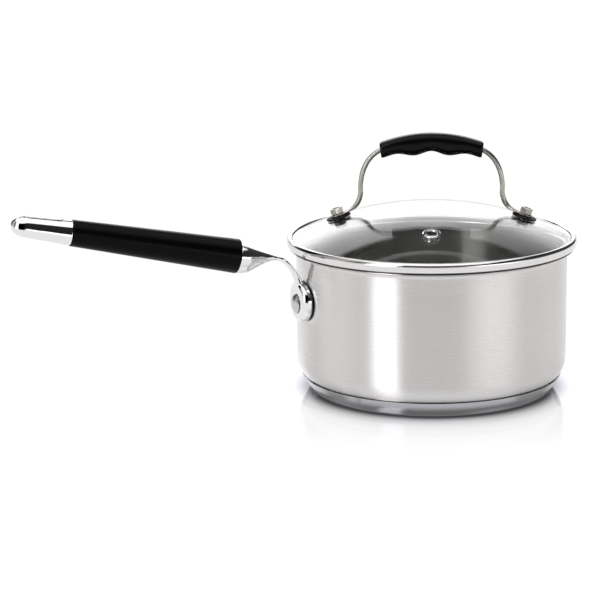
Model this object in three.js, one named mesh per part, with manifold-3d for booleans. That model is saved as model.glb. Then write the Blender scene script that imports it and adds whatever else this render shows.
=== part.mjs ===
// A 16 cm stainless saucepan with a long riveted handle and a domed glass lid.
// Millimetres, +Z up. The origin is the middle of the underside, on the pan's axis.
// The handle points along -X. Profiles are [radius, height] pairs, counter-clockwise.
import * as THREE from "three";
import { mergeVertices } from "three/addons/utils/BufferGeometryUtils.js";
import Module from "manifold-3d";

const wasm = await Module();
wasm.setup();

// ---- driving dimensions ----
const GAP = 0.3; // air between pieces that touch on the real pan
const ROUND_STEPS = 48; // facets of the large round pieces
const SMALL_STEPS = 16; // facets of the fasteners

const PAN_RADIUS = 81; // outside of the wall
const WALL = 0.8;
const PAN_FLOOR_Z = 5; // outside of the pot's own floor
const CORNER_RADIUS = 14;
const FLARE_RADIUS = 3; // the rim curls outwards by this
const RIM_Z = 86.3;

const CORE_RADIUS = 66;
const CORE_THICKNESS = 3.4;
const CAP_SHEET = 0.8;
const CAP_RIM_Z = 9.2;

const RIVET_Z = 57.5;
const RIVET_HOLE = 3.2;
const PAD_CENTRE_Z = 58.8;
const PAD_FACE = 86; // distance of the pad's front face from the pan's axis

const HANDLE_TILT = THREE.MathUtils.degToRad(12.3);
const SLEEVE_START = { reach: 122.2, z: 89.07 }; // pan end of the sleeve, on the handle's axis
const SLEEVE_LENGTH = 100.26;
const SLEEVE_RADIUS_PAN_END = 10.1;
const SLEEVE_RADIUS_TIP_END = 7.6;
const CORE_TUBE_RADIUS = 5;
const TIE_ROD_RADIUS = 2.5;
const TIP_LENGTH = 34.7; // end cap, from the sleeve to its rounded tip
const SLOT_WIDTH = 5.8;
const SLOT_START = 5; // from the sleeve to the near end of the hanging slot
const SLOT_LENGTH = 23.5;

const LID_TURN = THREE.MathUtils.degToRad(-22.3); // how the loose lid happens to sit on the pan
const GLASS_THICKNESS = 3.2;
const GLASS_RADIUS = 85.2;
const DOME_RADIUS = 189.4; // outer face of the dome
const DOME_TOP_Z = 110.9;
const DOME_CENTRE_Z = DOME_TOP_Z - DOME_RADIUS;
const RING_UNDERSIDE_Z = RIM_Z + GAP;
const SKIRT_RADIUS = 79.4;
const SKIRT_BOTTOM_Z = 82.6;

const FOOT_RADIUS = 55.2; // screws of the lid's handle, from the lid's axis
const SCREW_RADIUS = 2;
const SCREW_HOLE = SCREW_RADIUS + GAP;
const GLASS_HOLE = 3.9;
const VENT_RADIUS = 54.1; // steam vent, from the lid's axis
const VENT_HOLE = 2.7;
const VENT_GLASS_HOLE = 3.9;
const WIRE_RADIUS = 1.5;
const GRIP_HALF_LENGTH = 30.2;
const GRIP_HALF_DEPTH = 6.4;
const BAIL_STEPS = 40; // facets along the bail

// ---- materials ----
const finish = (color, roughness, metalness) =>
  new THREE.MeshStandardMaterial({ color, roughness, metalness });
const brushedSteel = finish(0xc4c2c0, 0.34, 1);
const polishedSteel = finish(0xd2d2d4, 0.12, 1);
const chrome = finish(0xdcdde0, 0.06, 1);
const aluminium = finish(0xb4b6b8, 0.4, 1);
const softTouch = finish(0x17171a, 0.62, 0);
const glossBlack = finish(0x101012, 0.35, 0);
const rubber = finish(0x141414, 0.8, 0);
const clearGlass = finish(0xdfe8e4, 0.03, 0);
clearGlass.transparent = true;
clearGlass.opacity = 0.35;

// ---- geometry helpers ----
const { cos, sin, sqrt, PI, sign, abs } = Math;

// A closed mesh as a solid that can be cut.
function solidOf(geometry) {
  const bare = new THREE.BufferGeometry();
  const source = geometry.index ? geometry.toNonIndexed() : geometry;
  bare.setAttribute("position", source.getAttribute("position"));
  const merged = mergeVertices(bare, 1e-4);
  return new wasm.Manifold(
    new wasm.Mesh({
      numProp: 3,
      vertProperties: merged.attributes.position.array,
      triVerts: new Uint32Array(merged.index.array),
    }),
  );
}

function geometryOf(solid) {
  const mesh = solid.getMesh();
  const geometry = new THREE.BufferGeometry();
  geometry.setAttribute("position", new THREE.BufferAttribute(mesh.vertProperties, 3));
  geometry.setIndex(new THREE.BufferAttribute(mesh.triVerts, 1));
  geometry.computeVertexNormals();
  return geometry;
}

function cut(geometry, ...tools) {
  let solid = solidOf(geometry);
  for (const tool of tools) solid = solid.subtract(solidOf(tool));
  return geometryOf(solid);
}

function join(...parts) {
  return geometryOf(parts.map(solidOf).reduce((whole, part) => whole.add(part)));
}

// A profile of [radius, height] pairs turned round +Z.
function turned(profile, steps = ROUND_STEPS) {
  const points = profile.map(([r, z]) => new THREE.Vector2(r, z));
  return new THREE.LatheGeometry(points, steps).rotateX(PI / 2);
}

// The same for a ring, whose profile closes on itself.
const turnedRing = (profile, steps) => turned([...profile, profile[0]], steps);

// Points of an arc in a profile, both ends included.
function arc([centreR, centreZ], radius, fromDegrees, toDegrees, steps) {
  return Array.from({ length: steps + 1 }, (_, i) => {
    const angle = THREE.MathUtils.degToRad(fromDegrees + ((toDegrees - fromDegrees) * i) / steps);
    return [centreR + radius * cos(angle), centreZ + radius * sin(angle)];
  });
}

// A plain cylinder along +Z from one height to another.
function rod(radius, fromZ, toZ, steps = SMALL_STEPS) {
  return turned([[0, fromZ], [radius, fromZ], [radius, toZ], [0, toZ]], steps);
}

// A closed skin over rings of points. Each ring runs counter-clockwise about the way forward.
function loft(rings) {
  const count = rings[0].length;
  const positions = rings.flat().flatMap((p) => [p.x, p.y, p.z]);
  const index = [];
  for (let i = 0; i < rings.length - 1; i++)
    for (let j = 0; j < count; j++) {
      const a = i * count + j;
      const b = i * count + ((j + 1) % count);
      index.push(a, b, a + count, b, b + count, a + count);
    }
  const last = (rings.length - 1) * count;
  for (let j = 1; j < count - 1; j++)
    index.push(0, j + 1, j, last, last + j, last + j + 1);
  const geometry = new THREE.BufferGeometry();
  geometry.setAttribute("position", new THREE.Float32BufferAttribute(positions, 3));
  geometry.setIndex(index);
  geometry.computeVertexNormals();
  return geometry;
}

// A rounded outline: power 2 is an ellipse, more is squarer.
function roundedOutline(halfA, halfB, power, count) {
  const shaped = (v) => sign(v) * abs(v) ** (2 / power);
  return Array.from({ length: count }, (_, i) => {
    const angle = (2 * PI * i) / count;
    return [halfA * shaped(cos(angle)), halfB * shaped(sin(angle))];
  });
}

function named(name, geometry, material) {
  const mesh = new THREE.Mesh(geometry, material);
  mesh.name = name;
  return mesh;
}

const domeZ = (r, inset = 0) => DOME_CENTRE_Z + sqrt((DOME_RADIUS - inset) ** 2 - r * r);

// ---- the pot and its base ----
function potProfile() {
  const cornerR = PAN_RADIUS - CORNER_RADIUS;
  const cornerZ = PAN_FLOOR_Z + CORNER_RADIUS;
  const flareZ = RIM_Z - FLARE_RADIUS;
  const flareR = PAN_RADIUS + FLARE_RADIUS;
  return [
    [0, PAN_FLOOR_Z],
    ...arc([cornerR, cornerZ], CORNER_RADIUS, -90, 0, 5),
    ...arc([flareR, flareZ - WALL], FLARE_RADIUS, 180, 90, 3),
    [flareR + 0.6, RIM_Z - WALL],
    [flareR + 0.6, RIM_Z],
    ...arc([flareR, flareZ - WALL], FLARE_RADIUS + WALL, 90, 180, 3),
    ...arc([cornerR, cornerZ], CORNER_RADIUS - WALL, 0, -90, 5),
    [0, PAN_FLOOR_Z + WALL],
  ];
}

// A cylinder that lies along -X at the rivet's height.
const alongHandle = (geometry) => geometry.rotateY(-PI / 2).translate(0, 0, RIVET_Z);

function panBody() {
  const rivetHole = alongHandle(rod(RIVET_HOLE, PAN_RADIUS - 6, PAN_RADIUS + 6));
  return cut(turned(potProfile()), rivetHole);
}

function baseCore() {
  const bottom = CAP_SHEET + GAP;
  return turned([
    [0, bottom],
    [CORE_RADIUS, bottom],
    [CORE_RADIUS, bottom + CORE_THICKNESS - GAP],
    [0, bottom + CORE_THICKNESS - GAP],
  ]);
}

function baseCap() {
  const centre = [PAN_RADIUS - CORNER_RADIUS, PAN_FLOOR_Z + CORNER_RADIUS];
  const inside = CORNER_RADIUS + GAP; // follows the pot's corner
  const rimAngle = -THREE.MathUtils.radToDeg(Math.asin((centre[1] - CAP_RIM_Z) / inside));
  const hug = arc(centre, inside, rimAngle, -86, 3);
  return turned([
    [0, 0],
    [71.2, 0],
    [72.6, 0.8],
    [75.2, 4.2],
    [hug[0][0] + CAP_SHEET, CAP_RIM_Z],
    ...hug,
    [CORE_RADIUS + GAP, CAP_SHEET],
    [0, CAP_SHEET],
  ]);
}

// ---- the handle ----
// One slice across the bracket's stem: halfWidth runs along Y, halfThickness across the path.
function stemRing({ reach, z, rise, halfWidth, halfThickness }) {
  const angle = THREE.MathUtils.degToRad(rise);
  return roundedOutline(halfThickness, halfWidth, 2.2, 20).map(
    ([across, side]) =>
      new THREE.Vector3(-(reach - across * sin(angle)), side, z + across * cos(angle)),
  );
}

function handleBracket() {
  const slices = [
    { reach: 83.7, z: 62, rise: 90, halfWidth: 6, halfThickness: 2 },
    { reach: 84.2, z: 69, rise: 86, halfWidth: 4.6, halfThickness: 2.1 },
    { reach: 86, z: 74, rise: 70, halfWidth: 3.4, halfThickness: 1.7 },
    { reach: 88.3, z: 78.2, rise: 57, halfWidth: 2.9, halfThickness: 1.4 },
    { reach: 91.3, z: 82, rise: 46, halfWidth: 2.8, halfThickness: 1.35 },
    { reach: 95, z: 84.9, rise: 30, halfWidth: 2.8, halfThickness: 1.4 },
    { reach: 99.5, z: 86.4, rise: 10, halfWidth: 3, halfThickness: 1.6 },
    { reach: 105.4, z: 86.9, rise: 5, halfWidth: 3.9, halfThickness: 3.4 },
    { reach: 111, z: 86.9, rise: 5, halfWidth: 6.1, halfThickness: 5.9 },
    { reach: 116.4, z: 87, rise: 8, halfWidth: 8.2, halfThickness: 8.1 },
    { reach: 122.3, z: 87.87, rise: 12.3, halfWidth: 9, halfThickness: 9 },
  ];
  const stem = loft(slices.map(stemRing));
  const padRing = (reach, halfWidth, halfHeight) =>
    roundedOutline(halfHeight, halfWidth, 2.2, 28).map(
      ([up, side]) => new THREE.Vector3(-reach, side, PAD_CENTRE_Z + up),
    );
  const pad = loft([
    padRing(PAN_RADIUS - 3, 13.6, 11.8),
    padRing(PAD_FACE - 2.2, 13.4, 11.7),
    padRing(PAD_FACE - 0.6, 12.4, 11),
    padRing(PAD_FACE, 11, 10),
  ]);
  const wall = rod(PAN_RADIUS + GAP, 30, 84, ROUND_STEPS);
  const rivetHole = alongHandle(rod(RIVET_HOLE, PAN_RADIUS - 6, PAD_FACE + 6));
  const rodHole = rod(TIE_ROD_RADIUS + GAP, -11, 5).applyMatrix4(handleFrame().matrix);
  return cut(join(pad, stem), wall, rivetHole, rodHole);
}

function bracketRivet() {
  const inner = PAN_RADIUS - WALL - GAP - 0.2;
  const outer = PAD_FACE + GAP;
  const shank = RIVET_HOLE - GAP;
  return alongHandle(
    turned(
      [
        [0, inner - 1.4],
        [4, inner - 1.2],
        [5, inner - 0.5],
        [5, inner],
        [shank, inner],
        [shank, outer],
        [6, outer],
        [5.9, outer + 0.6],
        [4.9, outer + 1.5],
        [2.8, outer + 2.1],
        [0, outer + 2.3],
      ],
      SMALL_STEPS,
    ),
  );
}

// Local +Z runs out along the handle, local +X is its upper side.
function handleFrame() {
  const frame = new THREE.Group();
  frame.position.set(-SLEEVE_START.reach, 0, SLEEVE_START.z);
  frame.rotation.y = HANDLE_TILT - PI / 2;
  frame.updateMatrix();
  return frame;
}

function gripSleeve() {
  const bore = CORE_TUBE_RADIUS + GAP;
  const edge = 0.4;
  return turnedRing(
    [
      [bore, 0],
      [SLEEVE_RADIUS_PAN_END - edge, 0],
      [SLEEVE_RADIUS_PAN_END, edge],
      [SLEEVE_RADIUS_TIP_END, SLEEVE_LENGTH - edge],
      [SLEEVE_RADIUS_TIP_END - edge, SLEEVE_LENGTH],
      [bore, SLEEVE_LENGTH],
    ],
    32,
  );
}

function handleCore() {
  const bore = TIE_ROD_RADIUS + GAP;
  return turnedRing(
    [
      [bore, GAP],
      [CORE_TUBE_RADIUS, GAP],
      [CORE_TUBE_RADIUS, SLEEVE_LENGTH],
      [bore, SLEEVE_LENGTH],
    ],
    SMALL_STEPS,
  );
}

const tieRod = () => rod(TIE_ROD_RADIUS, -10, SLEEVE_LENGTH + 3.5);

function endCap() {
  const start = SLEEVE_LENGTH + GAP;
  const tip = SLEEVE_LENGTH + TIP_LENGTH;
  const bluntness = 8; // length of the rounded tip
  const straight = tip - bluntness;
  const heavier = 0.2; // how much wider the section is below than above
  const ring = (z, halfHeight, halfWidth) =>
    roundedOutline(halfHeight, halfWidth, 2.2, 24).map(
      ([up, side]) => new THREE.Vector3(up, side * (1 - (heavier * up) / halfHeight), z),
    );
  const rings = [ring(start, 7.3, 7.1), ring(straight, 6.2, 6.6)];
  for (const along of [0.35, 0.62, 0.82, 0.95, 0.995]) {
    const shrink = sqrt(1 - along ** 2);
    rings.push(ring(straight + bluntness * along, 6.2 * shrink, 6.6 * shrink));
  }
  const slotOutline = new THREE.Shape();
  const half = SLOT_WIDTH / 2;
  const slotNear = SLEEVE_LENGTH + SLOT_START + half;
  const slotFar = slotNear + SLOT_LENGTH - SLOT_WIDTH;
  slotOutline.absarc(slotNear, 0, half, PI / 2, (3 * PI) / 2, false);
  slotOutline.absarc(slotFar, 0, half, -PI / 2, PI / 2, false);
  const slot = new THREE.ExtrudeGeometry(slotOutline, {
    depth: 20,
    bevelEnabled: false,
    curveSegments: 8,
  });
  slot.translate(0, 0, -10).rotateY(-PI / 2);
  const rodHole = rod(TIE_ROD_RADIUS + GAP, start - 1, SLEEVE_LENGTH + 3.9);
  return cut(loft(rings), slot, rodHole);
}

// ---- the lid ----
function lidGlass() {
  const rims = [0, 28, 46, 56, 66, 80];
  const outer = rims.map((r) => [r, domeZ(r)]).reverse();
  const inner = rims.map((r) => [r, domeZ(r, GLASS_THICKNESS)]);
  const edgeTop = domeZ(GLASS_RADIUS);
  const edgeBottom = domeZ(GLASS_RADIUS - 1.2, GLASS_THICKNESS);
  const dome = turned([
    ...inner,
    [GLASS_RADIUS - 1.2, edgeBottom],
    [GLASS_RADIUS, edgeBottom + 1.1],
    [GLASS_RADIUS, edgeTop],
    ...outer,
  ]);
  const holes = [footFrame(1), footFrame(-1)].map((frame) =>
    rod(GLASS_HOLE, -8, 4).applyMatrix4(frame.matrix),
  );
  holes.push(rod(VENT_GLASS_HOLE, -8, 4).applyMatrix4(ventFrame().matrix));
  return cut(dome, ...holes);
}

function lidRing() {
  const under = RING_UNDERSIDE_Z;
  const seat = under + 0.5; // top of the flange that carries the glass
  const above = (r) => domeZ(r) + GAP;
  const glassClear = GLASS_RADIUS + GAP;
  return turnedRing([
    [SKIRT_RADIUS - 0.6, SKIRT_BOTTOM_Z],
    [SKIRT_RADIUS, SKIRT_BOTTOM_Z],
    [SKIRT_RADIUS, under],
    [84.9, under],
    [86, under + 0.6],
    [86.5, under + 2],
    [86.6, under + 3.8],
    [86.5, under + 4.9],
    [85.6, under + 6.2],
    [84.6, under + 6.4],
    [83.7, under + 5.8],
    [83.3, above(83.3)],
    [glassClear, above(glassClear)],
    [glassClear, seat + 0.9],
    [glassClear - 0.7, seat],
    [SKIRT_RADIUS - 0.6, seat],
  ]);
}

// Local +Z stands out of the dome at a given distance from the lid's axis.
function onDome(radius, azimuth) {
  const frame = new THREE.Group();
  frame.position.set(radius * cos(azimuth), radius * sin(azimuth), domeZ(radius));
  const lean = Math.asin(radius / DOME_RADIUS);
  frame.quaternion
    .setFromAxisAngle(new THREE.Vector3(0, 0, 1), azimuth)
    .multiply(new THREE.Quaternion().setFromAxisAngle(new THREE.Vector3(0, 1, 0), lean));
  frame.updateMatrix();
  return frame;
}
const footFrame = (side) => onDome(FOOT_RADIUS, side > 0 ? 0 : PI);
const ventFrame = () => onDome(VENT_RADIUS, -PI / 2);

// Heights above the glass of the pieces stacked at each foot.
const GASKET_TOP = 1.3;
const FOOT_PLATE = [1.5, 2.7];
const NUT = [2.9, 6.2];
const INNER_WASHER = [-4.9, -3.7];
const SCREW_HEAD = [-7.1, -5.1];

function ventEyelet() {
  const low = -GLASS_THICKNESS - GAP;
  const collar = VENT_GLASS_HOLE - GAP;
  return turnedRing(
    [
      [VENT_HOLE, low - 0.9],
      [5, low - 0.9],
      [5, low - 0.2],
      [collar, low],
      [collar, GAP],
      [5.2, GAP],
      [5.4, 0.9],
      [4.6, 1.6],
      [3.4, 1.6],
      [VENT_HOLE, 0.9],
    ],
    24,
  );
}

function footGasket() {
  return turnedRing(
    [
      [SCREW_HOLE, -GLASS_THICKNESS],
      [GLASS_HOLE - GAP, -GLASS_THICKNESS],
      [GLASS_HOLE - GAP, 0.2],
      [7.4, 0.2],
      [7.4, GASKET_TOP],
      [SCREW_HOLE, GASKET_TOP],
    ],
    SMALL_STEPS,
  );
}

function innerWasher() {
  const [low, high] = INNER_WASHER;
  return turnedRing([[SCREW_HOLE, low], [6, low], [6, high], [SCREW_HOLE, high]], SMALL_STEPS);
}

function lidScrew() {
  const [low, high] = SCREW_HEAD;
  return turned(
    [
      [0, low],
      [2.6, low],
      [3.8, low + 1.1],
      [3.8, high],
      [SCREW_RADIUS, high],
      [SCREW_RADIUS, NUT[1] - 0.4],
      [0, NUT[1] - 0.4],
    ],
    SMALL_STEPS,
  );
}

function lidNut() {
  const acrossFlats = 7;
  const [low, high] = NUT;
  const hexagon = new THREE.CylinderGeometry(
    acrossFlats / sqrt(3),
    acrossFlats / sqrt(3),
    high - low,
    6,
  );
  hexagon.rotateX(PI / 2).rotateZ(PI / 7).translate(0, 0, (low + high) / 2);
  return cut(hexagon, rod(SCREW_HOLE, low - 1, high + 1));
}

// Half of the bail, from a foot up to the middle of the grip: [distance from the middle, z].
const BAIL_HALF = [
  [53, 105.5],
  [49.8, 106.6],
  [45.1, 110.3],
  [42.4, 116.2],
  [42.1, 123.6],
  [40.5, 131.4],
  [36.6, 138.6],
  [30.4, 143.6],
  [20, 146.7],
  [8, 148.4],
];
const BAIL_TOP = [0, 148.6];
const ROUND_UNTIL = 43.6; // the rod is pressed flat from here out to its feet
const FLAT_FROM = 50.8;

const bailPath = (() => {
  const left = BAIL_HALF.map(([x, z]) => new THREE.Vector3(-x, 0, z));
  const right = BAIL_HALF.map(([x, z]) => new THREE.Vector3(x, 0, z)).reverse();
  const middle = new THREE.Vector3(BAIL_TOP[0], 0, BAIL_TOP[1]);
  return new THREE.CatmullRomCurve3([...left, middle, ...right], false, "centripetal");
})();

// The bent rod, thicker all round by grow.
function bailRod(grow, steps) {
  const rings = [];
  for (let i = 0; i <= steps; i++) {
    const p = bailPath.getPointAt(i / steps);
    const t = bailPath.getTangentAt(i / steps);
    const flat = THREE.MathUtils.smoothstep(abs(p.x), ROUND_UNTIL, FLAT_FROM);
    const halfThickness = THREE.MathUtils.lerp(WIRE_RADIUS, 0.6, flat) + grow;
    const halfWidth = THREE.MathUtils.lerp(WIRE_RADIUS, 2.8, flat) + grow;
    rings.push(
      roundedOutline(halfWidth, halfThickness, 2, 8).map(
        ([side, up]) => new THREE.Vector3(p.x - t.z * up, side, p.z + t.x * up),
      ),
    );
  }
  return loft(rings);
}

function footPlate(side) {
  const [low, high] = FOOT_PLATE;
  const outline = new THREE.Shape();
  const half = 4;
  outline.moveTo(-6.6, -1.6);
  outline.lineTo(-2.4, -half);
  outline.absarc(1, 0, half, -PI / 2, PI / 2, false);
  outline.lineTo(-2.4, half);
  outline.lineTo(-6.6, 1.6);
  const plate = new THREE.ExtrudeGeometry(outline, {
    depth: high - low,
    bevelEnabled: false,
    curveSegments: 10,
  });
  return plate.translate(0, 0, low).applyMatrix4(footFrame(side).matrix);
}

function lidBail() {
  const holes = [1, -1].map((side) =>
    rod(SCREW_HOLE, -8, 9).applyMatrix4(footFrame(side).matrix),
  );
  return cut(join(bailRod(0, BAIL_STEPS), footPlate(1), footPlate(-1)), ...holes);
}

function lidGrip() {
  const stations = 20;
  const scallopPitch = 21.7;
  const rings = Array.from({ length: stations + 1 }, (_, i) => {
    const x = GRIP_HALF_LENGTH * (1 - (2 * i) / stations);
    const out = abs(x) / GRIP_HALF_LENGTH;
    const top = 153.9 - 5.7 * out ** 2;
    const scallop = (1.3 - 0.7 * out) * cos((2 * PI * x) / scallopPitch);
    const bottom = 141.85 - 2.5 * out ** 2 + scallop;
    const slant = (0.7 * x) / GRIP_HALF_LENGTH; // the end faces lean outwards
    const depth = GRIP_HALF_DEPTH * (1 - 0.12 * out ** 4);
    return roundedOutline((top - bottom) / 2, depth, 2.5, 16).map(
      ([up, side]) =>
        new THREE.Vector3(x + (2 * slant * up) / (top - bottom), side, (top + bottom) / 2 + up),
    );
  });
  return cut(loft(rings), bailRod(GAP, BAIL_STEPS));
}

// ---- assembly ----
function pan() {
  const group = new THREE.Group();
  group.add(
    named("pan_body", panBody(), brushedSteel),
    named("base_core", baseCore(), aluminium),
    named("base_cap", baseCap(), polishedSteel),
    named("handle_bracket", handleBracket(), chrome),
    named("bracket_rivet", bracketRivet(), chrome),
  );
  const handle = handleFrame();
  handle.add(
    named("handle_core", handleCore(), polishedSteel),
    named("tie_rod", tieRod(), polishedSteel),
    named("grip_sleeve", gripSleeve(), softTouch),
    named("end_cap", endCap(), chrome),
  );
  group.add(handle);
  return group;
}

function lid() {
  const group = new THREE.Group();
  group.rotation.z = LID_TURN;
  const vent = ventFrame();
  vent.add(named("vent_eyelet", ventEyelet(), polishedSteel));
  group.add(
    named("lid_glass", lidGlass(), clearGlass),
    named("lid_ring", lidRing(), polishedSteel),
    named("lid_bail", lidBail(), polishedSteel),
    named("lid_grip", lidGrip(), glossBlack),
    vent,
  );
  for (const [side, word] of [[-1, "left"], [1, "right"]]) {
    const foot = footFrame(side);
    foot.add(
      named("foot_gasket_" + word, footGasket(), rubber),
      named("inner_washer_" + word, innerWasher(), rubber),
      named("lid_screw_" + word, lidScrew(), polishedSteel),
      named("lid_nut_" + word, lidNut(), polishedSteel),
    );
    group.add(foot);
  }
  return group;
}

const saucepan = new THREE.Group();
saucepan.name = "saucepan";
saucepan.add(pan(), lid());
export default saucepan;
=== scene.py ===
"""Looks of the saucepan with a glass lid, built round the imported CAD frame. Lengths in mm unless said."""
import math

import bmesh
import bpy
from mathutils import Matrix, Vector


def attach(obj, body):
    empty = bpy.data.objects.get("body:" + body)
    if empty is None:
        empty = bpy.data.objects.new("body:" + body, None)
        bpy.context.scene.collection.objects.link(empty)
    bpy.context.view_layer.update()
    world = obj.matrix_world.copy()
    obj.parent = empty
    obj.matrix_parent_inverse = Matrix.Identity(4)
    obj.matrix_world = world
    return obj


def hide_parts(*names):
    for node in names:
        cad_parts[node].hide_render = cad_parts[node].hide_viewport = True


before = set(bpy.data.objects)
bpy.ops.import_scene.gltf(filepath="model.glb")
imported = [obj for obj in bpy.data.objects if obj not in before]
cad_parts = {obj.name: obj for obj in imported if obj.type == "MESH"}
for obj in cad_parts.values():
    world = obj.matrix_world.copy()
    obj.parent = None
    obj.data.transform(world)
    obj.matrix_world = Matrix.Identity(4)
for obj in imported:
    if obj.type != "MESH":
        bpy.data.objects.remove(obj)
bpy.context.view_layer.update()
MM = 0.001

# ---- dimensions of the object, the same as the CAD part's ----
GAP = 0.3
PAN_R, WALL, FLOOR_Z, CORNER, FLARE, RIM_Z = 81.0, 0.8, 5.0, 14.0, 3.0, 86.3
CAP_SHEET, CAP_RIM_Z, CORE_R = 0.8, 9.2, 66.0
RIVET_Z, PAD_Z, PAD_FACE = 57.5, 58.8, 86.0
TILT = math.radians(12.3)
SLEEVE_AT = (-122.2, 0.0, 89.07)
SLEEVE_LEN, SLEEVE_R0, SLEEVE_R1 = 100.26, 10.1, 7.6
TIP_LEN, SLOT_W, SLOT_START, SLOT_LEN = 34.7, 5.8, 5.0, 23.5
LID_TURN = math.radians(-22.3)
GLASS_T, GLASS_R, DOME_R, DOME_TOP = 3.2, 85.2, 189.4, 110.9
DOME_Z = DOME_TOP - DOME_R
RING_Z = RIM_Z + GAP
SKIRT_R, SKIRT_Z = 79.4, 82.6
FOOT_R, VENT_R = 55.2, 54.1
GRIP_HALF, GRIP_DEPTH = 30.2, 6.4
GRIP_SCALLOP = 21.7  # length of one finger scallop
SEAM_AT = math.radians(-104.6)  # where the ends of the ring's strip meet

# ---- the picture's numbers ----
PAPER_WHITE = 1.03  # what the camera sees of the floor and backdrop
OVERHEAD_LIGHT = (1.35, 1.35, 1.38, 1)
LENS, SENSOR = 130.38, 36.0
VIEW_TURN = math.radians(-19)  # the camera looks across the handle by this
CAMERA_AT, CAMERA_DIP, CAMERA_ROLL = (-0.07905, -1.27584, 0.35053), 0.229, -0.012


# ---- mesh helpers ----
def arc(centre, radius, start, end, steps):
    """Points of an arc, angles in degrees, both ends included."""
    out = []
    for i in range(steps + 1):
        a = math.radians(start + (end - start) * i / steps)
        out.append((centre[0] + radius * math.cos(a), centre[1] + radius * math.sin(a)))
    return out


def filleted(points, radii, closed, steps=5):
    """The polyline with corner i rounded to radii[i]."""
    out, n = [], len(points)
    for i, p in enumerate(points):
        r = radii[i]
        if r <= 0 or (not closed and i in (0, n - 1)):
            out.append(p)
            continue
        p, a, b = Vector(p), Vector(points[i - 1]), Vector(points[(i + 1) % n])
        u, v = (a - p).normalized(), (b - p).normalized()
        half = u.angle(v) / 2
        reach = min(r / math.tan(half), (a - p).length * 0.49, (b - p).length * 0.49)
        for k in range(steps + 1):
            t = k / steps
            q = (p + u * reach) * (1 - t) ** 2 + p * 2 * t * (1 - t) + (p + v * reach) * t**2
            out.append((q.x, q.y))
    return out


def lathe(profile, steps=192, closed=False):
    """A profile of (radius, z) turned round Z. Counter-clockwise profiles face outwards."""
    verts, rows = [], []
    for r, z in profile:
        if r < 1e-6:
            rows.append([len(verts)] * steps)
            verts.append((0, 0, z))
        else:
            rows.append(list(range(len(verts), len(verts) + steps)))
            for k in range(steps):
                a = 2 * math.pi * k / steps
                verts.append((r * math.cos(a), r * math.sin(a), z))
    pairs = list(zip(rows, rows[1:])) + ([(rows[-1], rows[0])] if closed else [])
    faces = []
    for low, high in pairs:
        for k in range(steps):
            m = (k + 1) % steps
            face = []
            for v in (low[k], low[m], high[m], high[k]):
                if v not in face:
                    face.append(v)
            if len(face) > 2:
                faces.append(face)
    return verts, faces


def loft(rings):
    """A closed skin over rings, each counter-clockwise about the way forward."""
    n = len(rings[0])
    verts = [tuple(p) for ring in rings for p in ring]
    faces = [list(reversed(range(n))), [len(verts) - n + j for j in range(n)]]
    for i in range(len(rings) - 1):
        for j in range(n):
            a, b = i * n + j, i * n + (j + 1) % n
            faces.append([a, b, b + n, a + n])
    return verts, faces


def outline(half_a, half_b, power, count):
    """A rounded outline: power 2 is an ellipse, more is squarer."""

    def shaped(v):
        return math.copysign(abs(v) ** (2 / power), v)

    turns = [2 * math.pi * i / count for i in range(count)]
    return [(half_a * shaped(math.cos(t)), half_b * shaped(math.sin(t))) for t in turns]


def path_through(points, count):
    """Evenly numbered points on a centripetal Catmull-Rom curve through points."""
    pts = [Vector(p) for p in points]
    pts = [pts[0] * 2 - pts[1], *pts, pts[-1] * 2 - pts[-2]]
    fine = []
    for i in range(1, len(pts) - 2):
        p0, p1, p2, p3 = pts[i - 1 : i + 3]
        t1 = (p1 - p0).length ** 0.5
        t2 = t1 + (p2 - p1).length ** 0.5
        t3 = t2 + (p3 - p2).length ** 0.5
        for k in range(24):
            t = t1 + (t2 - t1) * k / 24
            a1 = p0 * ((t1 - t) / t1) + p1 * (t / t1)
            a2 = p1 * ((t2 - t) / (t2 - t1)) + p2 * ((t - t1) / (t2 - t1))
            a3 = p2 * ((t3 - t) / (t3 - t2)) + p3 * ((t - t2) / (t3 - t2))
            b1 = a1 * ((t2 - t) / t2) + a2 * (t / t2)
            b2 = a2 * ((t3 - t) / (t3 - t1)) + a3 * ((t - t1) / (t3 - t1))
            fine.append(b1 * ((t2 - t) / (t2 - t1)) + b2 * ((t - t1) / (t2 - t1)))
    fine.append(pts[-2])
    lengths = [0.0]
    for a, b in zip(fine, fine[1:]):
        lengths.append(lengths[-1] + (b - a).length)
    out, k = [], 0
    for i in range(count + 1):
        want = lengths[-1] * i / count
        while k < len(fine) - 2 and lengths[k + 1] < want:
            k += 1
        t = (want - lengths[k]) / (lengths[k + 1] - lengths[k])
        out.append(fine[k].lerp(fine[k + 1], t))
    return out


def mesh_object(name, verts, faces, matrix=None):
    mesh = bpy.data.meshes.new(name)
    mesh.from_pydata([tuple(v) for v in verts], [], faces)
    if matrix is not None:
        mesh.transform(matrix)
    mesh.transform(Matrix.Scale(MM, 4))
    bm = bmesh.new()
    bm.from_mesh(mesh)
    bmesh.ops.remove_doubles(bm, verts=bm.verts, dist=1e-7)
    bmesh.ops.recalc_face_normals(bm, faces=bm.faces)
    bm.to_mesh(mesh)
    bm.free()
    obj = bpy.data.objects.new(name, mesh)
    bpy.context.scene.collection.objects.link(obj)
    return obj


def bake_modifiers(obj):
    """Turns the object's modifiers into plain mesh."""
    bpy.context.view_layer.update()
    graph = bpy.context.evaluated_depsgraph_get()
    mesh = bpy.data.meshes.new_from_object(obj.evaluated_get(graph))
    obj.modifiers.clear()
    old, obj.data = obj.data, mesh
    bpy.data.meshes.remove(old)
    return obj


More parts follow.
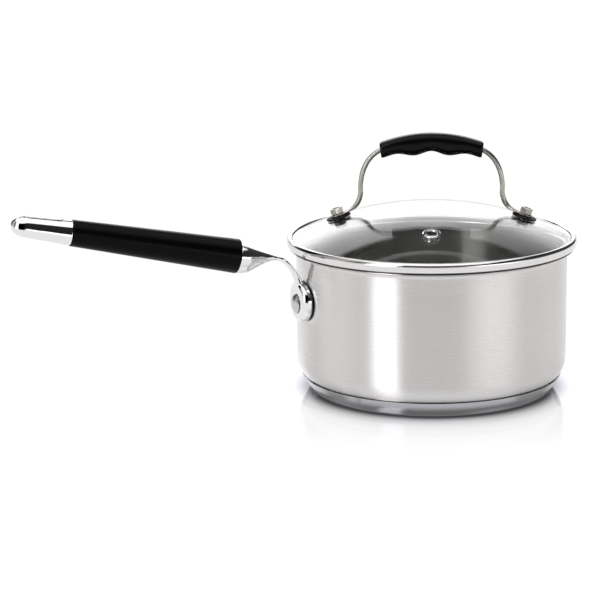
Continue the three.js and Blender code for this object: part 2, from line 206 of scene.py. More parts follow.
def combine(obj, others, operation):
    """Adds, cuts or keeps the overlap of solids, and removes the tools."""
    for other in others:
        mod = obj.modifiers.new("combine", "BOOLEAN")
        mod.operation, mod.object, mod.solver = operation, other, "EXACT"
    bake_modifiers(obj)
    for other in others:
        mesh = other.data
        bpy.data.objects.remove(other)
        bpy.data.meshes.remove(mesh)
    return obj


def cast(obj, voxel, passes):
    """Blends a solid's inner corners and softens its edges, as a cast and polished piece has."""
    mod = obj.modifiers.new("skin", "REMESH")
    mod.mode, mod.voxel_size = "VOXEL", voxel * MM
    mod = obj.modifiers.new("soften", "SMOOTH")
    mod.factor, mod.iterations = 0.5, passes
    return bake_modifiers(obj)


def finish_piece(obj, material, body, node, sharp=32):
    """Gives a piece its material, ties it to its body and hides its CAD node. sharp is in degrees."""
    obj.data.materials.clear()
    obj.data.materials.append(material)
    obj.data.shade_smooth()
    obj.data.set_sharp_from_angle(angle=math.radians(sharp))
    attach(obj, body)
    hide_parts(node)


# ---- materials ----
def material(name, **sockets):
    mat = bpy.data.materials.new(name)
    mat.use_nodes = True
    shader = mat.node_tree.nodes["Principled BSDF"]
    for key, value in sockets.items():
        shader.inputs[key.replace("_", " ")].default_value = value
    return mat, mat.node_tree, shader


def add(tree, kind, **settings):
    node = tree.nodes.new(kind)
    for key, value in settings.items():
        setattr(node, key, value)
    return node


def place_of(tree, scale=(1, 1, 1)):
    """The piece's own coordinates, stretched."""
    coords = add(tree, "ShaderNodeTexCoord")
    mapping = add(tree, "ShaderNodeMapping")
    mapping.inputs["Scale"].default_value = scale
    tree.links.new(coords.outputs["Object"], mapping.inputs["Vector"])
    return mapping.outputs["Vector"]


def noise(tree, vector, scale, detail=3.0, rough=0.5):
    node = add(tree, "ShaderNodeTexNoise")
    node.inputs["Scale"].default_value = scale
    node.inputs["Detail"].default_value = detail
    node.inputs["Roughness"].default_value = rough
    tree.links.new(vector, node.inputs["Vector"])
    return node.outputs["Fac"]


def spread(tree, value, low, high, source=(0.3, 0.7)):
    """Maps the source range of a value to low..high, held at both ends."""
    node = add(tree, "ShaderNodeMapRange")
    for key, number in zip(("From Min", "From Max", "To Min", "To Max"), (*source, low, high)):
        node.inputs[key].default_value = number
    tree.links.new(value, node.inputs["Value"])
    return node.outputs["Result"]


def tinted(tree, value, dark, light):
    """A colour between dark and light."""
    node = add(tree, "ShaderNodeMix", data_type="RGBA")
    node.inputs[6].default_value = (*dark, 1)
    node.inputs[7].default_value = (*light, 1)
    tree.links.new(value, node.inputs[0])
    return node.outputs[2]


def bump(tree, shader, value, height):
    """Relief of a height in mm."""
    node = add(tree, "ShaderNodeBump")
    node.inputs["Strength"].default_value = 1.0
    node.inputs["Distance"].default_value = height * MM
    tree.links.new(value, node.inputs["Height"])
    tree.links.new(node.outputs["Normal"], shader.inputs["Normal"])


def radius_of(tree):
    """Distance from the Z axis, in metres."""
    coords = add(tree, "ShaderNodeTexCoord")
    flat = add(tree, "ShaderNodeVectorMath", operation="MULTIPLY")
    flat.inputs[1].default_value = (1, 1, 0)
    length = add(tree, "ShaderNodeVectorMath", operation="LENGTH")
    tree.links.new(coords.outputs["Object"], flat.inputs[0])
    tree.links.new(flat.outputs["Vector"], length.inputs[0])
    return length.outputs["Value"]


def brushed(name, colour, rough, streaks, depth, anisotropy=0.0, turned=False):
    """Metal with fine lines. streaks scales the noise; turned lines run in circles on flat faces."""
    mat, tree, shader = material(name, Metallic=1.0, Anisotropic=anisotropy, Anisotropic_Rotation=0.25)
    if turned:
        lines = add(tree, "ShaderNodeCombineXYZ")
        tree.links.new(radius_of(tree), lines.inputs["X"])
        fine = noise(tree, lines.outputs["Vector"], streaks, 4, 0.65)
    else:
        fine = noise(tree, place_of(tree, (0.25, 0.25, 60)), streaks, 4, 0.65)
    cloudy = noise(tree, place_of(tree), 55, 2)
    both = add(tree, "ShaderNodeMath", operation="MULTIPLY_ADD")
    both.inputs[1].default_value = 0.35
    tree.links.new(cloudy, both.inputs[0])
    tree.links.new(fine, both.inputs[2])
    total = both.outputs["Value"]
    dark = tuple(c * 0.97 for c in colour)
    light = tuple(min(1.0, c * 1.02) for c in colour)
    level = spread(tree, total, 0, 1, (0.45, 0.9))
    tree.links.new(tinted(tree, level, dark, light), shader.inputs["Base Color"])
    roughness = spread(tree, total, rough * 0.92, rough * 1.08, (0.45, 0.9))
    tree.links.new(roughness, shader.inputs["Roughness"])
    bump(tree, shader, fine, depth)
    if anisotropy:
        tangent = add(tree, "ShaderNodeTangent", direction_type="RADIAL", axis="Z")
        tree.links.new(tangent.outputs["Tangent"], shader.inputs["Tangent"])
    return mat


def chromed(name, colour, rough, wave):
    """Bright plating with the slight waves and hairline wear of polished castings."""
    mat, tree, shader = material(name, Metallic=1.0)
    smear = noise(tree, place_of(tree), 160, 3)
    hair = noise(tree, place_of(tree, (1, 1, 9)), 900, 4, 0.7)
    both = add(tree, "ShaderNodeMath", operation="MULTIPLY")
    tree.links.new(smear, both.inputs[0])
    tree.links.new(hair, both.inputs[1])
    roughness = spread(tree, both.outputs["Value"], rough * 0.6, rough * 1.8, (0.15, 0.4))
    tree.links.new(roughness, shader.inputs["Roughness"])
    dark = tuple(c * 0.96 for c in colour)
    tree.links.new(tinted(tree, smear, dark, colour), shader.inputs["Base Color"])
    bump(tree, shader, smear, wave)
    return mat


def moulded(name, colour, rough, grain_scale, grain, **sockets):
    """Rubber or plastic with a fine moulded grain."""
    mat, tree, shader = material(name, **sockets)
    grain_map = noise(tree, place_of(tree), grain_scale, 4, 0.6)
    patch = noise(tree, place_of(tree), 90, 2)
    light = tuple(c * 1.8 for c in colour)
    level = spread(tree, grain_map, 0, 1, (0.35, 0.75))
    tree.links.new(tinted(tree, level, colour, light), shader.inputs["Base Color"])
    tree.links.new(spread(tree, patch, rough * 0.88, rough * 1.12), shader.inputs["Roughness"])
    bump(tree, shader, grain_map, grain)
    return mat


def clear_glass():
    """Clear lid glass. Lamps and soft light pass straight through it."""
    mat, tree, shader = material(
        "lid_glass_clear", Base_Color=(0.965, 0.985, 0.975, 1), Transmission_Weight=1.0, IOR=1.5
    )
    smudge = noise(tree, place_of(tree), 40, 3)
    tree.links.new(spread(tree, smudge, 0.0, 0.02, (0.45, 0.8)), shader.inputs["Roughness"])
    path = add(tree, "ShaderNodeLightPath")
    clear = add(tree, "ShaderNodeBsdfTransparent")
    clear.inputs["Color"].default_value = (0.94, 0.96, 0.95, 1)
    mix = add(tree, "ShaderNodeMixShader")
    output = tree.nodes["Material Output"]
    tree.links.new(path.outputs["Is Shadow Ray"], mix.inputs[0])
    tree.links.new(shader.outputs["BSDF"], mix.inputs[1])
    tree.links.new(clear.outputs["BSDF"], mix.inputs[2])
    tree.links.new(mix.outputs["Shader"], output.inputs["Surface"])
    return mat


steel_wall = brushed("brushed_wall_outside", (0.78, 0.765, 0.755), 0.28, 90, 0.0012, 1.0)
# painted shade: the same steel as the outside, made much darker for the shade inside the pan, and a little
# rougher
inside_painted_shade_steel = brushed("satin_inside_painted_shade", (0.36, 0.35, 0.335), 0.32, 90, 0.0015, 1.0)
steel_floor = brushed("turned_floor", (0.52, 0.51, 0.50), 0.22, 2500, 0.003, turned=True)
steel_base = brushed("polished_base", (0.60, 0.60, 0.61), 0.12, 60, 0.002)
steel_under = brushed("turned_underside", (0.66, 0.66, 0.67), 0.24, 2600, 0.005, turned=True)
steel_bright = chromed("polished_steel_bright", (0.80, 0.795, 0.79), 0.07, 0.004)
steel_rivet = chromed("rivet_head", (0.62, 0.62, 0.63), 0.2, 0.004)
steel_satin = chromed("satin_steel_rod", (0.46, 0.44, 0.41), 0.26, 0.004)
steel_ring = chromed("polished_steel_ring", (0.80, 0.785, 0.775), 0.12, 0.003)
# painted shade: a near-black copy of the steel, put where shadow lines fall between pieces
painted_shade_steel = chromed("steel_painted_shade", (0.10, 0.10, 0.10), 0.35, 0.003)
chrome = chromed("bright_chrome_plate", (0.86, 0.865, 0.875), 0.04, 0.006)
core_metal = brushed("rolled_aluminium", (0.7, 0.7, 0.72), 0.4, 200, 0.01)
soft_touch = moulded(
    "soft_touch_sleeve", (0.0015, 0.0015, 0.002), 0.27, 2600, 0.003, Specular_IOR_Level=0.07
)
grip_black = moulded("grip_plastic", (0.002, 0.002, 0.0025), 0.24, 2000, 0.003, Specular_IOR_Level=0.13)
rubber = moulded("gasket_rubber_black", (0.006, 0.006, 0.006), 0.6, 1500, 0.012, Specular_IOR_Level=0.3)
glass = clear_glass()


def darken(obj, in_painted_shade):
    """Gives the faces that close against another piece a dark, dull copy of the steel: painted shade for
    the shadow lines there.
    """
    obj.data.materials.append(painted_shade_steel)
    for face in obj.data.polygons:
        if in_painted_shade(face):
            face.material_index = len(obj.data.materials) - 1


# ---- pot ----
def make_pot():
    corner = (PAN_R - CORNER, FLOOR_Z + CORNER)
    flare = (PAN_R + FLARE, RIM_Z - FLARE - WALL)
    lip_r = PAN_R + FLARE + 0.6
    profile = [(0, FLOOR_Z)]
    profile += arc(corner, CORNER, -90, 0, 20)
    profile += [(PAN_R, z) for z in (30, 45, 60, 72)]
    profile += arc(flare, FLARE, 180, 90, 10)
    profile += arc((lip_r, RIM_Z - WALL / 2), WALL / 2, -90, 90, 6)
    profile += arc(flare, FLARE + WALL, 90, 180, 10)
    profile += [(PAN_R - WALL, z) for z in (72, 60, 45, 30)]
    profile += arc(corner, CORNER - WALL, 0, -90, 20)
    profile += [(r, FLOOR_Z + WALL) for r in (50, 30, 10, 0)]
    obj = mesh_object("pan_pot", *lathe(profile, 256))
    finish_piece(obj, steel_wall, "pan", "pan_body", 40)
    # the inside takes the darker steel, which is painted shade
    obj.data.materials.append(inside_painted_shade_steel)
    obj.data.materials.append(steel_floor)
    for face in obj.data.polygons:
        out = math.hypot(face.center.x, face.center.y) / MM
        high = face.center.z / MM
        inward = face.normal.x * face.center.x + face.normal.y * face.center.y < 0
        if face.normal.z > 0.97 and high < FLOOR_Z + 2:
            face.material_index = 2
        elif out < PAN_R - 0.4 and (inward or face.normal.z > 0):
            face.material_index = 1
    # painted shade under the rim's flare, below the lid ring
    darken(obj, lambda face: face.normal.z < -0.3 and face.center.z > (RIM_Z - 1.5) * MM)


def make_base():
    corner = (PAN_R - CORNER, FLOOR_Z + CORNER)
    inside = CORNER + GAP
    rim_angle = -math.degrees(math.asin((corner[1] - CAP_RIM_Z) / inside))
    hug = arc(corner, inside, rim_angle, -86, 12)
    outside = [(0, 0.0), (30, 0), (60, 0), (71.2, 0), (72.6, 0.8), (75.2, 4.2)]
    outside.append((hug[0][0] + CAP_SHEET, CAP_RIM_Z))
    profile = filleted(outside, [0, 0, 0, 0.8, 0.8, 6, 0], False)
    profile += hug + [(CORE_R + GAP, CAP_SHEET), (0, CAP_SHEET)]
    obj = mesh_object("pan_base_cap", *lathe(profile, 256))
    finish_piece(obj, steel_base, "pan", "base_cap", 30)
    obj.data.materials.append(steel_under)
    for face in obj.data.polygons:
        if face.normal.z < -0.95:
            face.material_index = 1


# ---- handle ----
HANDLE = Matrix.Translation(SLEEVE_AT) @ Matrix.Rotation(TILT - math.pi / 2, 4, "Y")
AT_RIVET = Matrix.Translation((0, 0, RIVET_Z)) @ Matrix.Rotation(-math.pi / 2, 4, "Y")
STEM = (  # reach, z, rise in degrees, half width along Y, half thickness
    (83.7, 62, 90, 6, 2), (84.2, 69, 86, 4.6, 2.1), (86, 74, 70, 3.4, 1.7),
    (88.3, 78.2, 57, 2.9, 1.4), (91.3, 82, 46, 2.8, 1.35), (95, 84.9, 30, 2.8, 1.4),
    (99.5, 86.4, 10, 3, 1.6), (105.4, 86.9, 5, 3.9, 3.4), (111, 86.9, 5, 6.1, 5.9),
    (116.4, 87, 8, 8.2, 8.1), (122.3, 87.87, 12.3, 9, 9),
)
PAD = (  # reach, half width along Y, half height
    (PAN_R - 3, 13.6, 11.8), (PAN_R + 1, 13.6, 11.8), (PAD_FACE - 2.2, 13.4, 11.7),
    (PAD_FACE - 0.6, 12.4, 11), (PAD_FACE, 11, 10),
)


def eased(rows, count):
    """Rows of numbers, smoothly filled in to count + 1 rows."""
    out, last = [], len(rows) - 1
    for i in range(count + 1):
        t = last * i / count
        k = min(int(t), last - 1)
        f = t - k
        row = []
        for c in range(len(rows[0])):
            a, b = rows[max(k - 1, 0)][c], rows[k][c]
            d, e = rows[k + 1][c], rows[min(k + 2, last)][c]
            row.append(b + 0.5 * f * (d - a + f * (2 * a - 5 * b + 4 * d - e + f * (3 * (b - d) + e - a))))
        out.append(row)
    return out


def make_bracket():
    rings = []
    for reach, z, rise, half_w, half_t in eased(STEM, 80):
        a = math.radians(rise)
        section = outline(half_t, half_w, 2.2, 48)
        rings.append([(-(reach - u * math.sin(a)), s, z + u * math.cos(a)) for u, s in section])
    obj = mesh_object("handle_bracket_casting", *loft(rings))
    pad = []
    for reach, half_w, half_h in eased(PAD, 24):
        pad.append([(-reach, s, PAD_Z + u) for u, s in outline(half_h, half_w, 2.2, 72)])
    reach = PAN_R + GAP
    wall = mesh_object("wall_tool", *lathe([(0, 30), (reach, 30), (reach, 84), (0, 84)], 256))
    combine(obj, [mesh_object("pad_tool", *loft(pad))], "UNION")
    combine(obj, [wall], "DIFFERENCE")
    cast(obj, 0.3, 6)
    finish_piece(obj, chrome, "pan", "handle_bracket", 60)
    # painted shade on the pad's back edge, next to the pan's wall
    darken(obj, lambda face: math.hypot(face.center.x, face.center.y) < (PAN_R + 1.2) * MM)


def make_rivet():
    inner, outer, shank = PAN_R - WALL - GAP - 0.2, PAD_FACE + GAP, 2.9
    profile = [
        (0, inner - 1.4), (2.6, inner - 1.35), (4.2, inner - 1.1), (5, inner - 0.4),
        (5, inner), (shank, inner), (shank, outer), (6, outer),
    ]
    profile = filleted(profile, [0, 0, 0, 0.4, 0.2, 0, 0, 0], False)
    profile += arc((0, outer - 7.0), 9.3, 50, 90, 16)  # the dome of the head
    obj = mesh_object("handle_rivet", *lathe(profile, 96), AT_RIVET)
    finish_piece(obj, steel_rivet, "pan", "bracket_rivet", 40)


def make_sleeve():
    bore, edge = 5.3, 0.4
    points = [(bore, 0), (SLEEVE_R0, 0), (SLEEVE_R1, SLEEVE_LEN), (bore, SLEEVE_LEN)]
    profile = filleted(points, [0, edge, edge, 0], True, 8)
    obj = mesh_object("handle_sleeve", *lathe(profile, 128, True), HANDLE)
    finish_piece(obj, soft_touch, "pan", "grip_sleeve", 35)


def make_end_cap():
    start, tip, blunt = SLEEVE_LEN + GAP, SLEEVE_LEN + TIP_LEN, 8.0
    straight = tip - blunt
    rows = [(start, 7.3, 7.1), (start + 6, 7.04, 6.98), (start + 12, 6.79, 6.86), (straight, 6.2, 6.6)]
    for k in range(1, 14):
        a = math.radians(90 * k / 13.3)
        rows.append((straight + blunt * math.sin(a), 6.2 * math.cos(a), 6.6 * math.cos(a)))
    rings = [[(u, s * (1 - 0.2 * u / h), z) for u, s in outline(h, w, 2.2, 96)] for z, h, w in rows]
    obj = mesh_object("handle_end_cap", *loft(rings), HANDLE)
    near = SLEEVE_LEN + SLOT_START + SLOT_W / 2
    far = near + SLOT_LEN - SLOT_W
    shape = arc((near, 0), SLOT_W / 2, 90, 270, 24) + arc((far, 0), SLOT_W / 2, -90, 90, 24)
    slot = loft([[(u, s, z) for z, s in reversed(shape)] for u in (-10, 10)])
    combine(obj, [mesh_object("slot_tool", *slot, HANDLE)], "DIFFERENCE")
    cast(obj, 0.22, 5)
    finish_piece(obj, chrome, "pan", "end_cap", 60)


# ---- lid ----
LID = Matrix.Rotation(LID_TURN, 4, "Z")


def dome(r, inset=0.0):
    return DOME_Z + math.sqrt((DOME_R - inset) ** 2 - r * r)


def on_dome(radius, azimuth):
    """A frame whose +Z stands out of the dome, at a distance from the lid's axis."""
    place = (radius * math.cos(azimuth), radius * math.sin(azimuth), dome(radius))
    lean = Matrix.Rotation(math.asin(radius / DOME_R), 4, "Y")
    return LID @ Matrix.Translation(place) @ Matrix.Rotation(azimuth, 4, "Z") @ lean


FEET = {"left": on_dome(FOOT_R, math.pi), "right": on_dome(FOOT_R, 0)}
VENT = on_dome(VENT_R, -math.pi / 2)


def rod_tool(radius, low, high, matrix, steps=64):
    """A plain cylinder to cut with."""
    profile = [(0, low), (radius, low), (radius, high), (0, high)]
    return mesh_object("rod_tool", *lathe(profile, steps), matrix)


def make_glass():
    steps = 44
    radii = [GLASS_R * i / steps for i in range(steps)]
    profile = [(r, dome(r, GLASS_T)) for r in radii]
    top, low = dome(GLASS_R), dome(GLASS_R - 1.2, GLASS_T)
    profile += [
        (GLASS_R - 1.2, low), (GLASS_R - 0.35, low + 0.35), (GLASS_R, low + 1.1),
        (GLASS_R, top - 0.5), (GLASS_R - 0.4, dome(GLASS_R - 0.4)),
    ]
    profile += [(r, dome(r)) for r in reversed(radii[:-1])]
    obj = mesh_object("lid_dome", *lathe(profile, 256), LID)
    tools = [rod_tool(3.9, -8, 5, m) for m in (*FEET.values(), VENT)]
    combine(obj, tools, "DIFFERENCE")
    finish_piece(obj, glass, "lid", "lid_glass", 40)


def make_ring():
    under, seat = RING_Z, RING_Z + 0.5
    clear = GLASS_R + GAP
    points = [
        (SKIRT_R - 0.6, SKIRT_Z), (SKIRT_R, SKIRT_Z), (SKIRT_R, under), (84.9, under),
        (86, under + 0.75), (86.5, under + 2), (86.6, under + 3.8), (86.5, under + 4.9),
        (85.6, under + 6.2), (84.6, under + 6.4), (83.7, under + 5.8), (83.3, dome(83.3) + GAP),
        (clear, dome(clear) + GAP), (clear, seat + 0.9), (clear - 0.7, seat), (SKIRT_R - 0.6, seat),
    ]
    radii = [0.2, 0.2, 0.5, 0.2, 0.4, 1.5, 2, 1.8, 1.6, 1.2, 0.8, 0.15, 0.2, 0.3, 0.2, 0.6]
    obj = mesh_object("lid_rim_ring", *lathe(filleted(points, radii, True, 6), 256, True), LID)
    slit = ((86.9, -0.09), (86.9, 0.09), (85.75, 0.09), (85.75, -0.09))
    rings = [[(x, s, z) for x, s in slit] for z in (under - 1, under + 7)]
    seam = mesh_object("seam_tool", *loft(rings), Matrix.Rotation(SEAM_AT, 4, "Z"))
    combine(obj, [seam], "DIFFERENCE")
    finish_piece(obj, steel_ring, "lid", "lid_ring", 35)
    # painted shade on the ring's underside, over the pan's rim
    darken(obj, lambda face: face.normal.z < -0.4)


def make_eyelet():
    low = -GLASS_T - GAP
    points = [
        (2.7, low - 0.9), (5, low - 0.9), (5, low - 0.2), (3.6, low), (3.6, GAP),
        (5.2, GAP), (5.4, 0.9), (4.6, 1.6), (3.4, 1.6), (2.7, 0.9),
    ]
    radii = [0.4, 0.3, 0.2, 0, 0, 0.2, 0.5, 0.8, 0.8, 0.5]
    obj = mesh_object("vent_rim", *lathe(filleted(points, radii, True, 6), 72, True), VENT)
    finish_piece(obj, steel_bright, "lid", "vent_eyelet", 40)


BAIL_HALF = ((53, 105.5), (49.8, 106.6), (45.1, 110.3), (42.4, 116.2), (42.1, 123.6),
             (40.5, 131.4), (36.6, 138.6), (30.4, 143.6), (20, 146.7), (8, 148.4))
WIRE, FOOT_END, FLAT_FROM, ROUND_UNTIL = 1.5, 59.2, 50.8, 43.6


def bail_centre():
    """The rod's middle line, from the left foot's rounded end to the right one's."""
    half = [Vector((x, 0, z)) for x, z in BAIL_HALF]
    lean = math.asin(FOOT_R / DOME_R)
    along = Vector((math.cos(lean), 0, -math.sin(lean)))
    hole = Vector((FOOT_R, 0, dome(FOOT_R))) + Vector((math.sin(lean), 0, math.cos(lean))) * 2.1
    half = [hole + along * 4.4, hole + along * 2, hole, hole - along * 3.0] + half[2:]
    left = [Vector((-p.x, 0, p.z)) for p in half]
    return left + [Vector((0, 0, 148.6))] + list(reversed(half))


def make_bail():
    count = 220
    points = path_through(bail_centre(), count)
    total = sum((b - a).length for a, b in zip(points, points[1:]))
    rings = []
    for i, p in enumerate(points):
        ahead = (points[min(i + 1, count)] - points[max(i - 1, 0)]).normalized()
        flat = min(max((abs(p.x) - ROUND_UNTIL) / (FLAT_FROM - ROUND_UNTIL), 0), 1)
        flat = flat * flat * (3 - 2 * flat)
        from_end = total * min(i, count - i) / count
        wide = WIRE + (4.0 - WIRE) * flat
        if from_end < 4:
            wide = max(math.sqrt(max(16 - (4 - from_end) ** 2, 0)), 0.25)
        thick = WIRE + (0.6 - WIRE) * flat
        section = outline(wide, thick, 2 + 1.2 * flat, 24)
        rings.append([(p.x - ahead.z * u, s, p.z + ahead.x * u) for s, u in section])
    obj = mesh_object("lid_bail_rod", *loft(rings), LID)
    finish_piece(obj, steel_satin, "lid", "lid_bail", 50)


def make_grip():
    stations = 120
    rings = []
    for i in range(stations + 1):
        x = GRIP_HALF * (1 - 2 * i / stations)
        out = abs(x) / GRIP_HALF
        top = 153.9 - 5.7 * out**2
        scallop = (1.3 - 0.7 * out) * math.cos(2 * math.pi * x / GRIP_SCALLOP)
        bottom = 141.85 - 2.5 * out**2 + scallop
        depth = GRIP_DEPTH * (1 - 0.12 * out**4)
        edge = GRIP_HALF - abs(x)
        shrink = 1 - 0.10 * max(0, 1 - edge / 1.2) ** 2
        slant = 0.7 * x / GRIP_HALF
        half, middle = (top - bottom) / 2, (top + bottom) / 2
        section = outline(half * shrink, depth * shrink, 2.7, 48)
        rings.append([(x + slant * u / half, s, middle + u) for u, s in section])
    obj = mesh_object("lid_grip_moulding", *loft(rings), LID)
    finish_piece(obj, grip_black, "lid", "lid_grip", 40)


def make_foot(word, at):
    """What clamps one foot of the bail to the glass. Heights are from the dome's outer face."""
    points = [(2.3, -GLASS_T), (3.6, -GLASS_T), (3.6, 0.2), (7.4, 0.2), (7.4, 1.3), (2.3, 1.3)]
    profile = filleted(points, [0, 0, 0, 0.3, 0.4, 0], True)
    obj = mesh_object("foot_gasket_ring_" + word, *lathe(profile, 72, True), at)
    finish_piece(obj, rubber, "lid", "foot_gasket_" + word)
    points = [(2.3, -4.9), (6, -4.9), (6, -3.7), (2.3, -3.7)]
    profile = filleted(points, [0, 0.4, 0.2, 0], True)
    obj = mesh_object("inner_washer_ring_" + word, *lathe(profile, 72, True), at)
    finish_piece(obj, rubber, "lid", "inner_washer_" + word)
    make_screw(word, at)
    make_nut(word, at)


def make_screw(word, at):
    points = [
        (0, -7.1), (2.6, -7.1), (3.8, -6), (3.8, -5.1), (2, -5.1), (2, 5.4), (1.7, 5.8), (0, 5.8),
    ]
    profile = filleted(points, [0, 0.8, 0.8, 0.15, 0, 0, 0.1, 0], False)
    screw = mesh_object("lid_screw_pin_" + word, *lathe(profile, 64), at)
    cross = []  # the tapering bars that press the recess
    for half_x, half_y in ((1.9, 0.42), (0.42, 1.9)):
        corners = ((-half_x, -half_y), (half_x, -half_y), (half_x, half_y), (-half_x, half_y))
        low = [(x, y, -7.5) for x, y in corners]
        high = [(x * 0.35, y, -5.7) if half_x > half_y else (x, y * 0.35, -5.7) for x, y in corners]
        cross.append(mesh_object("cross_tool", *loft([low, high]), at))
    combine(screw, cross, "DIFFERENCE")
    finish_piece(screw, steel_bright, "lid", "lid_screw_" + word, 30)


def make_nut(word, at):
    low, high, flats = 2.9, 6.2, 7.0
    turns = [math.pi / 7 + math.pi * k / 3 for k in range(6)]
    corner = flats / math.sqrt(3)
    corners = [(corner * math.cos(a), corner * math.sin(a)) for a in turns]
    rings = [[(x, y, z) for x, y in corners] for z in (low, high)]
    nut = mesh_object("lid_hex_nut_" + word, *loft(rings), at)
    limit = [(0, low), (3.5, low), (4.1, low + 0.4), (4.1, high - 0.5), (3.4, high), (0, high)]
    combine(nut, [mesh_object("limit_tool", *lathe(limit, 96), at)], "INTERSECT")
    combine(nut, [rod_tool(2.12, low - 1, high + 1, at)], "DIFFERENCE")
    finish_piece(nut, steel_satin, "lid", "lid_nut_" + word, 20)


make_pot()
make_base()
make_bracket()
make_rivet()
make_sleeve()
make_end_cap()
make_glass()
make_ring()
make_eyelet()
make_bail()
make_grip()
for side_word, side_frame in FEET.items():
    make_foot(side_word, side_frame)
HIDDEN = (("base_core", core_metal), ("handle_core", steel_bright), ("tie_rod", steel_bright))
for hidden, metal in HIDDEN:  # nothing shows of these, so the CAD's own mesh serves
    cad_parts[hidden].data.materials.clear()
    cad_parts[hidden].data.materials.append(metal)


# ---- floor, studio light, camera ----
def ramp(tree, value, stops):
    """A grey level by value, from (value, level) stops."""
    node = add(tree, "ShaderNodeValToRGB")
    elements = node.color_ramp.elements
    while len(elements) > 1:
        elements.remove(elements[-1])
    elements[0].position = stops[0][0]
    elements[0].color = (*(stops[0][1],) * 3, 1)
    for position, level in stops[1:]:
        elements.new(position).color = (level, level, level, 1)
    tree.links.new(value, node.inputs["Fac"])
    return node.outputs["Color"]


def make_floor():
    """A large white glossy table. It mirrors the pan only close by, and a shadow is painted round and under
    the pan.
    """
    table = lathe([(0, 0.0), (60, 0), (200, 0), (1000, 0), (6000, 0)], 96)
    obj = mesh_object("floor", *table, Matrix.Translation((0, 0, -0.15)))
    mat = bpy.data.materials.new("floor_white")
    mat.use_nodes = True
    tree = mat.node_tree
    tree.nodes.clear()
    output = add(tree, "ShaderNodeOutputMaterial")
    light = add(tree, "ShaderNodeEmission")
    light.inputs["Color"].default_value = (*(PAPER_WHITE,) * 3, 1)
    mirror = add(tree, "ShaderNodeBsdfGlossy")
    mirror.inputs["Roughness"].default_value = 0.05
    mirror.inputs["Color"].default_value = (0.92, 0.91, 1.0, 1)
    mix = add(tree, "ShaderNodeMixShader")
    far = radius_of(tree)
    share = spread(tree, far, 0.24, 0.0, (0.085, 0.150))
    path = add(tree, "ShaderNodeLightPath")
    near = spread(tree, far, 0, 1, (0.0, 0.2))  # 1 is 200 mm from the pan's axis
    # painted shade near the pan, in what other things reflect of the floor
    shade = ramp(tree, near, [(0.0, 0.2), (0.37, 0.25), (0.44, 0.9), (0.7, 0.9)])
    level = add(tree, "ShaderNodeMix", data_type="FLOAT")
    tree.links.new(path.outputs["Is Camera Ray"], level.inputs[0])
    tree.links.new(shade, level.inputs[2])
    # painted contact shadow round the pan's base, as the camera sees the floor
    seen_painted_shadow = ramp(tree, near, [
        (0.0, 0.0), (0.37, 0.03), (0.385, 0.25), (0.40, 0.5),
        (0.415, 0.7), (0.455, 0.94), (0.5, 1.0), (1.0, 1.0),
    ])
    tree.links.new(seen_painted_shadow, level.inputs[3])
    tree.links.new(level.outputs[0], light.inputs["Strength"])
    tree.links.new(share, mix.inputs[0])
    tree.links.new(light.outputs["Emission"], mix.inputs[1])
    tree.links.new(mirror.outputs["BSDF"], mix.inputs[2])
    tree.links.new(mix.outputs["Shader"], output.inputs["Surface"])
    obj.data.materials.append(mat)


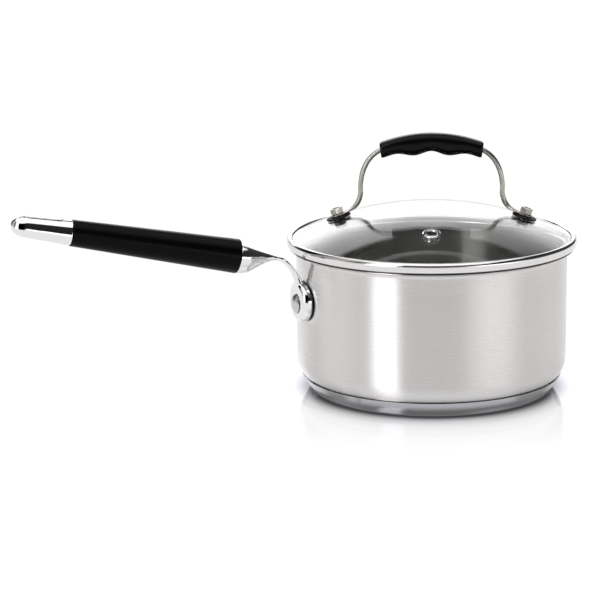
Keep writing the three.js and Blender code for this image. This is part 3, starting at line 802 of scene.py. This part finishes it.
def make_studio():
    """A white studio. In front it is dark below a soft box overhead, with a tall soft box to
    the left and a low light to the right; behind the pan stands a bright wall."""
    world = bpy.data.worlds.new("studio")
    bpy.context.scene.world = world
    world.use_nodes = True
    tree = world.node_tree
    tree.nodes.clear()
    coords = add(tree, "ShaderNodeTexCoord")
    turn = add(tree, "ShaderNodeVectorRotate", rotation_type="Z_AXIS")
    turn.inputs["Angle"].default_value = -VIEW_TURN
    tree.links.new(coords.outputs["Generated"], turn.inputs["Vector"])
    split = add(tree, "ShaderNodeSeparateXYZ")
    tree.links.new(turn.outputs["Vector"], split.inputs["Vector"])
    # azimuth from the camera's side, positive to its right, as 0..1 with 0.5 straight at the camera
    minus_y = add(tree, "ShaderNodeMath", operation="MULTIPLY")
    minus_y.inputs[1].default_value = -1
    tree.links.new(split.outputs["Y"], minus_y.inputs[0])
    azimuth = add(tree, "ShaderNodeMath", operation="ARCTAN2")
    tree.links.new(split.outputs["X"], azimuth.inputs[0])
    tree.links.new(minus_y.outputs["Value"], azimuth.inputs[1])
    share = spread(tree, azimuth.outputs["Value"], 0, 1, (-math.pi, math.pi))

    def at(degrees):
        return (degrees + 180) / 360

    def scaled(colour, factor=4.0):
        node = add(tree, "ShaderNodeVectorMath", operation="SCALE")
        node.inputs["Scale"].default_value = factor
        tree.links.new(colour, node.inputs[0])
        return node.outputs["Vector"]

    def levels(stops):
        """Light level by azimuth."""
        return scaled(ramp(tree, share, [(at(a), v / 4) for a, v in stops]))

    def multiplied(first, second):
        node = add(tree, "ShaderNodeVectorMath", operation="MULTIPLY")
        tree.links.new(first, node.inputs[0])
        tree.links.new(second, node.inputs[1])
        return node.outputs["Vector"]

    def blend(factor, first, second):
        node = add(tree, "ShaderNodeMix", data_type="RGBA")
        tree.links.new(factor, node.inputs[0])
        tree.links.new(first, node.inputs[6])
        if isinstance(second, tuple):
            node.inputs[7].default_value = second
        else:
            tree.links.new(second, node.inputs[7])
        return node.outputs[2]

    horizon = levels([
        (-180, 1.2), (-164, 1.0), (-150, 0.2), (-128, 0.0), (-115, 0.0), (-106, 0.8), (-84, 0.8),
        (-66, 0.35), (-57, 0.7), (-51, 3.0), (-34, 3.0), (-31, 0.5), (-27, 0.0), (12, 0.0),
        (22, 0.3), (33, 1.8), (44, 2.8), (60, 2.6), (70, 1.5), (80, 0.5), (94, 0.4),
        (112, 0.35), (124, 0.0), (150, 0.0), (168, 1.2), (180, 1.2),
    ])
    low = levels([
        (-180, 0.3), (-128, 0.0), (-115, 0.0), (-106, 0.4), (-84, 0.5), (-66, 0.1), (-57, 0.2),
        (-51, 4.0), (-34, 4.0), (-31, 0.5), (-27, 0.0), (12, 0.0), (40, 0.02), (112, 0.04), (180, 0.1),
    ])
    elevation = add(tree, "ShaderNodeMath", operation="ARCSINE")
    tree.links.new(split.outputs["Z"], elevation.inputs[0])
    height = spread(tree, elevation.outputs["Value"], 0, 90, (0, math.pi / 2))

    def by_height(stops):
        share_up = spread(tree, height, 0, 1, (0, 90))
        return ramp(tree, share_up, [(e / 90, v) for e, v in stops])

    above = by_height([(0, 0), (7, 0), (10, 1), (90, 1)])
    overhead = spread(tree, split.outputs["Z"], 0, 1, (0.735, 0.785))
    front = blend(overhead, blend(above, horizon, low), OVERHEAD_LIGHT)
    back = scaled(by_height([
        (0, 0.8), (24, 0.8), (30, 0.55), (36, 0.42), (42.5, 0.38), (44, 0.005), (55, 0.005),
        (55.7, 0.4), (56.3, 0.4), (57, 0.005), (64, 0.005), (67, 0.45), (90, 0.45),
    ]), 3.0)
    sides = ramp(tree, share, [
        (0, 0.85), (at(-170), 1.05), (at(-150), 1.15), (0.5, 1),
        (at(150), 0.5), (at(164), 0.6), (at(174), 0.85), (1, 0.85),
    ])
    back = multiplied(back, sides)
    behind = ramp(tree, share, [
        (0, 1), (at(-149), 1), (at(-142), 0), (at(145), 0), (at(154), 1), (1, 1),
    ])
    behind_up = add(tree, "ShaderNodeMath", operation="MULTIPLY")
    tree.links.new(behind, behind_up.inputs[0])
    tree.links.new(above, behind_up.inputs[1])
    sky = blend(behind_up.outputs["Value"], front, back)
    path = add(tree, "ShaderNodeLightPath")
    shown = add(tree, "ShaderNodeMix", data_type="RGBA")
    tree.links.new(path.outputs["Is Camera Ray"], shown.inputs[0])
    tree.links.new(sky, shown.inputs[6])
    shown.inputs[7].default_value = (*(PAPER_WHITE,) * 3, 1)
    background = add(tree, "ShaderNodeBackground")
    output = add(tree, "ShaderNodeOutputWorld")
    tree.links.new(shown.outputs[2], background.inputs["Color"])
    tree.links.new(background.outputs["Background"], output.inputs["Surface"])


def make_camera():
    data = bpy.data.cameras.new("camera")
    data.sensor_width, data.lens = SENSOR, LENS
    data.clip_start, data.clip_end = 0.05, 20
    cam = bpy.data.objects.new("camera", data)
    bpy.context.scene.collection.objects.link(cam)
    pitch = Matrix.Rotation(math.pi / 2 - CAMERA_DIP, 4, "X")
    roll = Matrix.Rotation(CAMERA_ROLL, 4, "Z")
    place = Matrix.Translation(CAMERA_AT)
    cam.matrix_world = Matrix.Rotation(VIEW_TURN, 4, "Z") @ place @ pitch @ roll
    bpy.context.scene.camera = cam


make_floor()
make_studio()
make_camera()
bpy.context.scene.view_settings.view_transform = "Standard"
